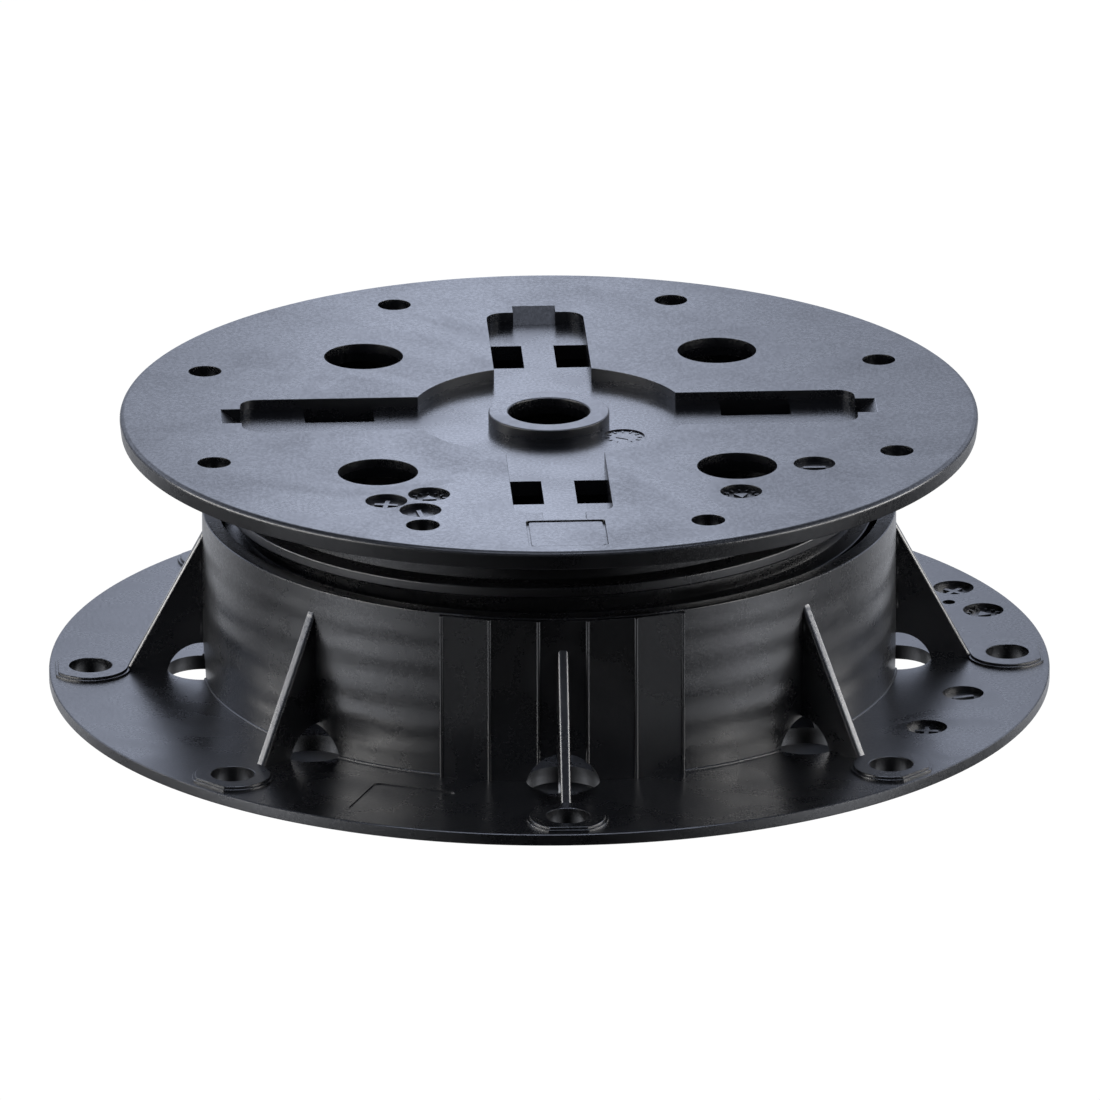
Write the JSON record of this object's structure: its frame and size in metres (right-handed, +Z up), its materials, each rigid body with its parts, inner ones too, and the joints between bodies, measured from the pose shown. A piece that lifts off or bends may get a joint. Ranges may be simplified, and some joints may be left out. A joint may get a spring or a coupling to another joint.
{
  "type": "height-adjustable decking pedestal",
  "caption": "Low black plastic pedestal for decking or paving slabs: a round base with a threaded barrel and gussets, and a round head that screws into it to set the height.",
  "frame": {"origin": "on the ground, on the axis of the screw, under the middle of the base", "axes": "+Z up along the screw's axis; -Y towards the front, where the barrel has its flat facets and a gusset in their middle"},
  "size_m": [0.1998, 0.1998, 0.0562],
  "materials": {
    "base_plastic": "satin",
    "head_plastic": "satin"
  },
  "bodies": {
    "base": {"pedestal_base": "base_plastic"},
    "head": {"pedestal_head": "head_plastic"}
  },
  "joints": [
    {"name": "head_height", "type": "slide", "parent": "base", "child": "head", "axis": [0, 0, 1], "range_m": [-0.0142, 0.0038]}
  ]
}
